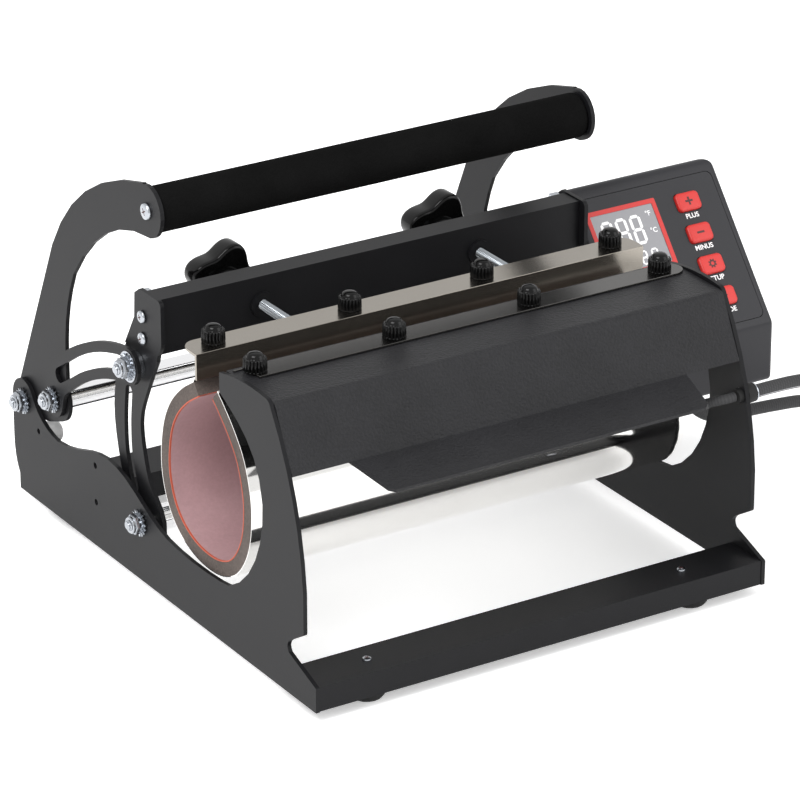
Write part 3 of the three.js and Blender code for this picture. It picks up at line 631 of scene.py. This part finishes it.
def bar_ends():
    """Blocks at the ends of the top bar, each with two screws."""
    outer_end, seat, foot = 10.9, 7.3, 174.3
    for side, way in (("left", -1), ("right", 1)):
        bm = bmesh.new()
        low, high = ((corner - ORIGIN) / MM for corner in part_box(f"bar_end_block_{side}"))
        x0, x1 = (outer_end, high.x) if side == "left" else (low.x, WIDTH - outer_end)
        add_box(bm, x0, x1, low.y, high.y, foot, high.z, ROW)
        head_x = seat if side == "left" else WIDTH - seat
        for k, z in enumerate((194, 178)):
            head = pointing(at(head_x, 236, z), (way, 0, 0))
            add_pan_head(bm, head)
            add_pin(bm, 2.5, -4.5, 0.5, head, 20)
            cross_recess(f"bar_screw_cross_{side}_{k + 1}", head, 2.3, 2.0, "swing_frame")
        piece(f"bar_end_{side}", bm, "zinc", "swing_frame", [f"bar_end_block_{side}"], edge=0.3)


def crossbar_screws():
    for k, x in enumerate((50, 302)):
        bm = bmesh.new()
        head = pointing(at(x, 18, 18.05), (0, 0, 1))
        add_pan_head(bm, head, 3.2, 2.0)
        piece(f"crossbar_screw_{k + 1}", bm, "zinc", "base")
        cross_recess(f"crossbar_screw_cross_{k + 1}", head, 2.0, 1.5, "base")


bar_ends()
crossbar_screws()


# ---------------------------------------------------------------- handle
def foam_sleeve():
    """Foam tube with round ends and slightly uneven thickness."""
    bm = bmesh.new()
    x0, x1, r, bore, end = 7.1, 346.3, 16.0, 11.4, 2.4
    unevenness, steps = 0.12, 24
    profile = [(bore, x0), (r - 1.4, x0), (r - 0.4, x0 + 0.8), (r, x0 + end)]
    for k in range(1, steps):
        x = x0 + end + (x1 - x0 - 2 * end) * k / steps
        profile.append((r - unevenness * abs(math.sin(9.7 * k)), x))
    profile += [(r, x1 - end), (r - 0.4, x1 - 0.8), (r - 1.4, x1), (bore, x1)]
    add_lathe(bm, profile, along(GRIP_AXIS), 64, hollow=True)
    piece("foam_sleeve", bm, "foam", "handle", ["foam_grip"])


def grip_rod():
    bm = bmesh.new()
    rod = along(GRIP_AXIS)
    add_pin(bm, 11, 6.7, 346.7, rod, 40)
    add_pin(bm, 3, 2.4, 351, rod, 20)
    heads = (pointing(at(3.1, *GRIP_AXIS), (-1, 0, 0)), pointing(at(350.3, *GRIP_AXIS), (1, 0, 0)))
    for k, head in enumerate(heads):
        add_pan_head(bm, head, 6, 2.3)
        cross_recess(f"grip_screw_cross_{k + 1}", head, 2.3, 2.6, "handle")
    piece("grip_rod", bm, "zinc", "handle", ["grip_core"])


foam_sleeve()
grip_rod()


# ---------------------------------------------------------------- pressure screws
def knob_outline(grow):
    """Four round lobes."""
    count, middle, wave, turned = 96, 23.5, 3.5, 0.38
    out = []
    for i in range(count):
        a = 2 * math.pi * i / count
        r = middle + wave * math.cos(4 * (a + turned)) + grow
        out.append((r * math.sin(a), r * math.cos(a)))
    return out


def pressure_screws():
    for side, x in zip(("left", "right"), SCREW_X):
        body = f"screw_{side}"
        away = pointing(at(x, 0, SCREW_Z), (0, 1, 0))
        bm = bmesh.new()
        add_thread(bm, 3.9, 262 - 168, pointing(at(x, 168, SCREW_Z), (0, 1, 0)), segments=24)
        add_pin(bm, 4.7, 164, 169, away)
        add_pin(bm, 4.7, 176, 180, away)
        piece(f"threaded_rod_{side}", bm, "thread", body, [f"pressure_screw_{side}"])
        bm = bmesh.new()
        near = [(-3, 264), (-1.2, 264.5), (-0.3, 265.6), (0, 267.4)]
        far = [(0, 277.6), (-0.3, 279.4), (-1.2, 280.5), (-3, 281)]
        rings = [[(u, v, y) for u, v in knob_outline(grow)] for grow, y in near + far]
        add_rings(bm, rings, away)
        add_lathe(bm, [(AXIS, 255), (10, 255), (11, 256.5), (11, 266), (AXIS, 266)], away, 48)
        piece(f"knob_{side}", bm, "gloss", body, [f"pressure_screw_{side}"])


pressure_screws()


# ---------------------------------------------------------------- screw caps
def caps():
    rows = (("front", 18, 107, 104, 201.9, "base"), ("rear", 22, 106, 165.5, 198.8, "press_strip"))
    ribs, groove = 20, 0.13
    profile = [(AXIS, 0), (7.9, 0), (8.2, 0.4), (8.2, 1.2), (8.0, 8.0), (7.6, 8.6), (6.2, 8.8), (5.9, 9.4),
               (5.6, 10.4), (4.8, 11.4), (3.4, 12.1), (1.8, 12.4), (AXIS, 12.5)]

    def wave(angle, k):
        return 1 - groove * (0.5 + 0.5 * math.cos(ribs * angle)) ** 2 if 2 <= k <= 5 else 1

    for row, x, pitch, y, z, body in rows:
        for i in range(4):
            bm = bmesh.new()
            add_lathe(bm, profile, pointing(at(x + i * pitch, y, z), (0, 0, 1)), ribs * 6, wave)
            piece(f"{row}_ribbed_cap_{i + 1}", bm, "gloss", body, [f"{row}_cap_{i + 1}"], angle=50)


caps()


# ---------------------------------------------------------------- heating mat
MAT_LINE = (
    (131.5, 179), (122, 171), (109, 158), (98, 143), (91, 124), (88.5, 106), (91, 84),
    (99, 66), (112, 52), (130, 44.3), (150, 42.6), (170, 46), (188, 55), (201, 69), (208.5, 88),
    (209.5, 108), (205, 130), (195, 148), (180, 163), (163, 174.5),
)
# Depths from the mat's outer line to the inner face of its sleeve, its sponge and its lining
SLEEVE, FELT, LINING = 0.6, 10.4, 11.3
FLANGE_THICK = 1.4
MAT_X = (5, 354)
# Runs of the mat's line: the front stays on the cover, the rear follows the swing frame, and the lower
# part between them rides on no body
MAT_RUNS = (("front", 0, 21), ("lower", 21, 119), ("rear", 119, 133))


def mat_line(inset):
    """Points of the mat's line moved inward, from its front lip round to its rear one."""
    line = catmull([(y, z, 0) for y, z in MAT_LINE], 7, power=0)
    out = []
    for k, p in enumerate(line):
        t = (line[min(k + 1, len(line) - 1)] - line[max(k - 1, 0)]).normalized()
        out.append((p.x - t.y * inset, p.y + t.x * inset))
    return out


def add_band(bm, outer, inner, x0, x1):
    """A sheet between two lines of (y, z) points, from x0 to x1."""
    add_prism(bm, outer + inner[::-1], x0, x1, SIDEWAYS)


def mat():
    x0, x1 = MAT_X
    layers = (("mat_sleeve", 0, SLEEVE, "mirror", "mat_shell", 0),
              ("mat_felt", SLEEVE, FELT, "sponge", "mat_sponge", 0.2),
              ("mat_edge", FELT, LINING - 0.1, "orange", "mat_sponge", 0.0),
              ("mat_lining", FELT + 0.1, LINING, "silicone", "mat_heater", 1.2))
    bodies = {"front": "base", "lower": None, "rear": "swing_frame"}
    for name, a, b, look, cad, inset in layers:
        for run, first, last in MAT_RUNS:
            outer, inner = (mat_line(depth)[first:last + 1] for depth in (a, b))
            bm = bmesh.new()
            add_band(bm, outer, inner, x0 + inset, x1 - inset)
            made = piece(f"{name}_{run}", bm, look, bodies[run], [cad])
            if run == "lower":
                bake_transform(made)
    front_flange()
    rear_lip()


def front_flange():
    """The sleeve's front edge, folded over the cover, with a round right end."""
    top = 200 + GAP
    bm = bmesh.new()
    outline = [(15, 93)] + arc((346, 102.5), 9.5, -90, 90, 12) + [(15, 112)]
    add_prism(bm, outline, top, top + FLANGE_THICK, ROW)
    above = [(112, top + 0.9), (112.9, top - 0.2), (131.5, 179)]
    below = [(110.8, top + 0.5), (111.9, top - 1), (130.6, 178)]
    add_band(bm, above, below, MAT_X[0] + 1, MAT_X[1] - 1)
    piece("mat_front_flange", bm, "flange", "base", ["mat_shell"], edge=0.2)


def rear_lip():
    """A lapped strip of the sleeve that stands up behind the press strip."""
    wrap = [p for p in mat_line(-0.25) if p[1] > 142 and p[0] > 150]
    inside = [p for p in mat_line(-0.05) if p[1] > 142 and p[0] > 150]
    bm = bmesh.new()
    add_band(bm, wrap + [(157.2, 184), (156.4, 196)], inside + [(156.6, 183), (155.4, 196)], *MAT_X)
    lip = piece("mat_rear_lip", bm, "mirror", None, ["mat_shell"])
    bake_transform(lip)


mat()


def press_strip():
    """Folded strip with round ends, and the lugs that take the pressure screws."""
    bm = bmesh.new()
    y0, y1, z0, z1, t = 152, 175, 179.5, 198.5, 2
    x0, x1, corner = 1, WIDTH - 1, 11
    left = arc((x0 + corner, y1 - corner), corner, 180, 90, 8)
    right = arc((x1 - corner, y1 - corner), corner, 90, 0, 8)
    add_prism(bm, [(x0, y0), (x1, y0)] + right[::-1] + left[::-1], z1 - t, z1, ROW)
    add_box(bm, x0, x1, y0, y0 + t, z0, z1 - t + 0.5, ROW)
    lug = (170, 175, z1 - t - 15)
    for x in SCREW_X:
        add_box(bm, x - 10, x - 4.3, *lug, z1 - t + 0.3, ROW)
        add_box(bm, x + 4.3, x + 10, *lug, z1 - t + 0.3, ROW)
        add_box(bm, x - 4.4, x + 4.4, *lug, SCREW_Z - 4.2, ROW)
    piece("clamp_strip", bm, "strip", "press_strip", ["press_strip"], edge=0.25)


press_strip()


# ---------------------------------------------------------------- control box
PANEL_TOP = Vector((0, 251, 197))
SLOPE = (Vector((0, 177, 107)) - PANEL_TOP).normalized()
LIFT = Vector((0, SLOPE.z, -SLOPE.y))
BOX_X = (366, 491)
PANEL_MIDDLE = (428.5, 58)
PANEL_SIZE = (113, 114)
BUTTON_X = 457.5
BUTTONS = (("plus", 20), ("minus", 44.5), ("setup", 69), ("mode", 94))
# Local x along the machine's x, y downward and z backward from the plane of the box's back
BOX_BACK = Matrix.Translation(at(0, 268, 0)) @ Matrix.Rotation(-math.pi / 2, 4, "X") @ Matrix.Scale(MM, 4)


def on_panel(across, down, out=0.0):
    """Local x across the panel, y up its slope and z out of its face, from a point on it."""
    point = PANEL_TOP + SLOPE * down + LIFT * out
    basis = Matrix((Vector((1, 0, 0)), -SLOPE, LIFT)).transposed().to_4x4()
    return ROW @ Matrix.Translation((across, point.y, point.z)) @ basis


def block(w, h, r, count=6):
    """A rectangle with round corners."""
    x, y = w / 2 - r, h / 2 - r
    corners = ((x, y, 0), (-x, y, 90), (-x, -y, 180), (x, -y, 270))
    return [p for cx, cy, a in corners for p in arc((cx, cy), r, a, a + 90, count)]


def quad_curve(a, b, c, count):
    """A quadratic curve from a to c with control point b."""
    out = []
    for k in range(count + 1):
        t = k / count
        weights = ((1 - t) ** 2, 2 * t * (1 - t), t * t)
        out.append(tuple(sum(w * p[i] for w, p in zip(weights, (a, b, c))) for i in (0, 1)))
    return out


def shell_outline():
    """The box from the side, as (y, z)."""

    def panel_point(down):
        p = PANEL_TOP + SLOPE * down
        return (p.y, p.z)

    return (quad_curve((264, 58), (268, 58), (268, 62), 4)
            + quad_curve((268, 192), (268, 198.3), (262, 201.6), 5)[:-1]
            + quad_curve((262, 201.6), (257, 204.3), panel_point(-4), 5)
            + quad_curve(panel_point(119), (174, 103.4), (174, 99), 6)
            + quad_curve((174, 62), (174, 58), (178, 58), 4))


def inset_outline(outline, amount):
    """The outline moved inward, with its corners mitred."""
    n = len(outline)
    out = []
    for k in range(n):
        a, p, b = (Vector(outline[(k + d) % n]) for d in (-1, 0, 1))
        u, v = (p - a).normalized(), (b - p).normalized()
        m = (Vector((-u.y, u.x)) + Vector((-v.y, v.x))).normalized()
        m /= max(0.5, m.dot(Vector((-u.y, u.x))))
        out.append(tuple(p + m * amount))
    return out


def cut(obj, cutters):
    """Takes the cutters out of an object for good."""
    for tool in cutters:
        made = obj.modifiers.new("cut", "BOOLEAN")
        made.operation = "DIFFERENCE"
        made.solver = "EXACT"
        made.object = tool
    graph = bpy.context.evaluated_depsgraph_get()
    obj.data = bpy.data.meshes.new_from_object(obj.evaluated_get(graph))
    obj.modifiers.clear()
    for tool in cutters:
        bpy.data.objects.remove(tool)
    crease(obj.data, 35)


def cutter(outline, z0, z1, matrix):
    bm = bmesh.new()
    add_prism(bm, outline, z0, z1, matrix)
    return solid("cutter", bm)


def rounded_rings(outline, x0, x1, left, right, steps=6):
    """Sections of a block drawn out along x, with its two rims rounded."""
    angles = [math.pi / 2 * k / steps for k in range(steps + 1)]
    rings = []
    for edge, way, radius, turns in ((x0, 1, left, angles), (x1, -1, right, angles[::-1])):
        for a in turns:
            x = edge + way * radius * (1 - math.cos(a))
            rings.append([(y, z, x) for y, z in inset_outline(outline, radius * (1 - math.sin(a)))])
    return rings


def control_shell():
    """Housing with the panel's recess and opening, the inlet's opening, a round corner and vents."""
    inner_rim, outer_rim = 1.5, 3.6
    rings = rounded_rings(shell_outline(), *BOX_X, inner_rim, outer_rim)
    bm = bmesh.new()
    add_rings(bm, rings, SIDEWAYS)
    obj = piece("control_housing", bm, "plastic", "base", ["control_shell"])
    face = on_panel(*PANEL_MIDDLE)
    recess = block(PANEL_SIZE[0] + 0.8, PANEL_SIZE[1] + 0.8, 5)
    socket = [(440, -92), (470, -92), (470, -70), (440, -70)]
    corner = [(495, 16), (478, 16)] + arc((478, -2.5), 13, 90, 0, 10) + [(495, -2.5)]
    tools = [
        cutter(recess, -2.4, 12, face),
        cutter(block(98, 100, 3), -13, 1, face),
        cutter(socket, -25, 8, BOX_BACK),
        cutter(corner, -34, 16, on_panel(0, 0)),
    ]
    vent_left, vent_right, vent_height = 400, 460, 2.5
    for z in (150, 157, 164, 171):
        top, foot = -z - vent_height, -z
        vent = [(vent_left, top), (vent_right, top), (vent_right, foot), (vent_left, foot)]
        tools.append(cutter(vent, -3, 5, BOX_BACK))
    cut(obj, tools)


control_shell()


def lettering(name, text, size, across, down, out=0.02):
    """White raised letters on the panel."""
    data = bpy.data.curves.new(name, "FONT")
    data.body = text
    data.size = size
    data.extrude = 0.06
    data.offset = 0.09
    data.resolution_u = 3
    data.align_x = "CENTER"
    data.align_y = "CENTER"
    made = bpy.data.objects.new(name, data)
    bpy.context.scene.collection.objects.link(made)
    bpy.context.view_layer.update()
    graph = bpy.context.evaluated_depsgraph_get()
    mesh = bpy.data.meshes.new_from_object(made.evaluated_get(graph))
    bpy.data.objects.remove(made)
    mesh.transform(on_panel(across, down, out))
    mesh.materials.clear()
    mesh.materials.append(looks["white"])
    obj = bpy.data.objects.new(name, mesh)
    bpy.context.scene.collection.objects.link(obj)
    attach(obj, "base")


def add_bar(bm, x, y, length, upright, matrix, t):
    """One segment of a digit: a flat bar with pointed ends."""
    h = length / 2
    outline = [(-h, 0), (-h + t, -t), (h - t, -t), (h, 0), (h - t, t), (-h + t, t)]
    if upright:
        outline = [(-v, u) for u, v in outline]
    add_prism(bm, [(x + u, y + v) for u, v in outline], 0, 0.12, matrix)


def add_digit(bm, x, y, w, h, matrix, t):
    """A digit with all seven segments lit."""
    gap = t * 1.15
    for row in (-1, 0, 1):
        add_bar(bm, x, y + row * h / 2, w - gap * 0.4, False, matrix, t)
    for side in (-1, 1):
        for row in (-1, 1):
            add_bar(bm, x + side * w / 2, y + row * h / 4, h / 2 - gap * 0.4, True, matrix, t)


def display():
    """Lit digits in two rows, a marker, the two units and a red frame."""
    glass = on_panel(0, 0, -0.2)
    bm = bmesh.new()
    for k in range(3):
        add_digit(bm, 385.5 + 12.2 * k, -31.5, 7.4, 20, glass, 1.15)
    for k in range(4):
        add_digit(bm, 388 + 9.5 * k, -52.5, 4.6, 9.5, glass, 0.7)
    add_prism(bm, [(373.6, -38.5), (376.0, -34.2), (378.4, -38.5)], 0, 0.12, glass)
    piece("display_digits", bm, "white", "base")
    for unit, down in (("F", 21.5), ("C", 34.5)):
        lettering(f"unit_{unit.lower()}", f"°{unit}", 5.2, 422.3, down, out=-0.12)
    bm = bmesh.new()
    w, h, border, low, high = 60, 51.5, 3.4, -0.15, 0.25
    outer, inner = block(w, h, 1.0, 2), block(w - 2 * border, h - 2 * border, 0.6, 2)
    rings = raised(outer, low, high) + raised(inner, high, low)
    add_rings(bm, rings, on_panel(401.5, 37), closed_u=True)
    piece("display_border", bm, "red", "base")


display()


def icon(bm, name, matrix):
    """Raised sign on a key: a plus, a minus, a gear or a triangle."""
    arm, half, height = 3.1, 0.75, 0.1
    if name in ("plus", "minus"):
        add_box(bm, -arm, arm, -half, half, 0, height, matrix)
    if name == "plus":
        add_box(bm, -half, half, 0.8, arm, 0, height, matrix)
        add_box(bm, -half, half, -arm, -0.8, 0, height, matrix)
    if name == "setup":
        teeth = 8
        outer, inner = toothed(teeth, 3.5, 2.5), circle(1.4, 4 * teeth)
        rings = raised(outer, 0, height) + raised(inner, height, 0)
        add_rings(bm, rings, matrix, closed_u=True)
    if name == "mode":
        add_prism(bm, [(-2.2, -2.8), (2.8, 0), (-2.2, 2.8)], 0, height, matrix)


def buttons():
    w, h, corner = 20, 14, 3.4
    crown = ((0, -2.6), (0, 1.3), (0.35, 2.0), (1.0, 2.45), (2.0, 2.6))
    for name, down in BUTTONS:
        body = f"{name}_button"
        bm = bmesh.new()
        place = on_panel(BUTTON_X, down)
        rings = []
        for inset, z in crown:
            rings += raised(block(w - 2 * inset, h - 2 * inset, max(0.8, corner - inset)), z)
        add_rings(bm, rings, place)
        add_box(bm, -3, 3, -3, 3, -6.5, -2.4, place)
        piece(f"{name}_key", bm, "red", body, [body])
        bm = bmesh.new()
        icon(bm, name, on_panel(BUTTON_X, down, 2.62))
        piece(f"{name}_icon", bm, "ink_and_recess_shade", body)
        lettering(f"{name}_label", name.upper(), 5.2, BUTTON_X, down + 10.7)


buttons()


def inlet():
    """Mains socket on the back of the box, with its recess and three pins."""
    bm = bmesh.new()
    add_box(bm, 436, 474, -96, -66, GAP, 3, BOX_BACK)
    add_box(bm, 440.4, 469.6, -91.6, -70.4, -18, 1, BOX_BACK)
    obj = piece("mains_socket", bm, "plastic", "base", ["power_inlet"])
    mouth = [(444, -84.5), (447.5, -88), (462.5, -88), (466, -84.5), (466, -74), (444, -74)]
    cut(obj, [cutter(mouth, -13, 8, BOX_BACK)])
    bm = bmesh.new()
    for x, z in ((448.5, 78.5), (455, 83.5), (461.5, 78.5)):
        add_box(bm, x - 1, x + 1, -z - 2, -z + 2, -12.8, -2, BOX_BACK)
    piece("socket_pins", bm, "zinc", "base")


inlet()


# ---------------------------------------------------------------- floor, light
def make_floor():
    mesh = bpy.data.meshes.new("floor")
    half = 4.0
    corners = [(-half, -half, 0), (half, -half, 0), (half, half, 0), (-half, half, 0)]
    mesh.from_pydata(corners, [], [(0, 1, 2, 3)])
    floor = bpy.data.objects.new("floor", mesh)
    floor.location.z = -0.0005
    material, _, _, principled = shader("floor")
    principled.inputs["Base Color"].default_value = (0.95, 0.95, 0.95, 1)
    principled.inputs["Roughness"].default_value = 0.9
    principled.inputs["Emission Color"].default_value = (1, 1, 1, 1)
    principled.inputs["Emission Strength"].default_value = 0.4
    mesh.materials.append(material)
    bpy.context.scene.collection.objects.link(floor)


def make_lights():
    world = bpy.data.worlds.new("studio")
    world.use_nodes = True
    background = world.node_tree.nodes["Background"]
    background.inputs["Color"].default_value = (1, 1, 1, 1)
    background.inputs["Strength"].default_value = 1.0
    bpy.context.scene.world = world
    target = Vector((0, 0, 0.1))
    lights = (("key", (-1.2, -0.6, 1.9), 1.2, 34), ("fill", (1.4, -1.4, 1.2), 1.4, 12))
    for name, place, size, power in lights:
        data = bpy.data.lights.new(name, "AREA")
        data.energy = power
        data.size = size
        light = bpy.data.objects.new(name, data)
        light.location = place
        light.rotation_euler = (target - Vector(place)).to_track_quat("-Z", "Y").to_euler()
        bpy.context.scene.collection.objects.link(light)
    bpy.context.scene.view_settings.view_transform = "Standard"


make_floor()
make_lights()
